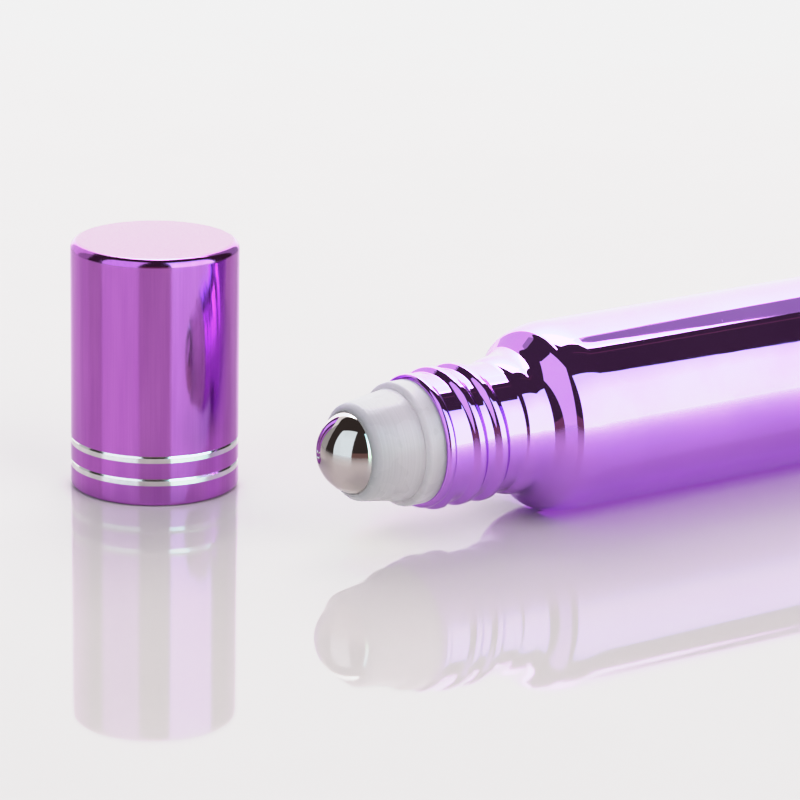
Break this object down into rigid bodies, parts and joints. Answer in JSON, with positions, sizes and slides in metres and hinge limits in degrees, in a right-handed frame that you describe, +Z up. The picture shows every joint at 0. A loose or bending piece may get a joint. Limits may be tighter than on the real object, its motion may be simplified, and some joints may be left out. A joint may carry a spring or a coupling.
{
  "type": "roll on bottle",
  "caption": "Slim cylindrical roll-on bottle of mirror-coated glass lying on its side, with a steel roller ball in a plastic fitment and its screw cap standing beside it.",
  "frame": {"origin": "centre of the footprint of the whole layout (bottle and cap), on the floor that both rest on", "axes": "+X along the lying bottle from its roller to its base, +Z up; the cap stands towards +Y"},
  "size_m": [0.0946, 0.0478, 0.0265],
  "materials": {
    "coated_glass": "glass with an opaque purple mirror coating, like a metallised electroplate",
    "natural_plastic": "natural milky polyethylene, translucent, satin",
    "polished_steel": "mirror-polished stainless steel",
    "anodised_aluminium": "bright purple anodised aluminium with two diamond-cut silver rings",
    "liner_plastic": "white polypropylene, satin"
  },
  "bodies": {
    "bottle": {"glass_bottle": "coated_glass", "roller_housing": "natural_plastic"},
    "ball": {"roller_ball": "polished_steel"},
    "cap": {"cap_shell": "anodised_aluminium", "cap_liner": "liner_plastic"}
  },
  "joints": [
    {"name": "ball_roll", "type": "hinge", "parent": "bottle", "child": "ball", "pos_m": [-0.03202, -0.01392, 0.01], "axis": [0, 1, 0], "continuous": true},
    {"name": "cap_lift", "type": "slide", "parent": "bottle", "child": "cap", "axis": [0, 0, 1], "range_m": [0, 0.06]}
  ]
}
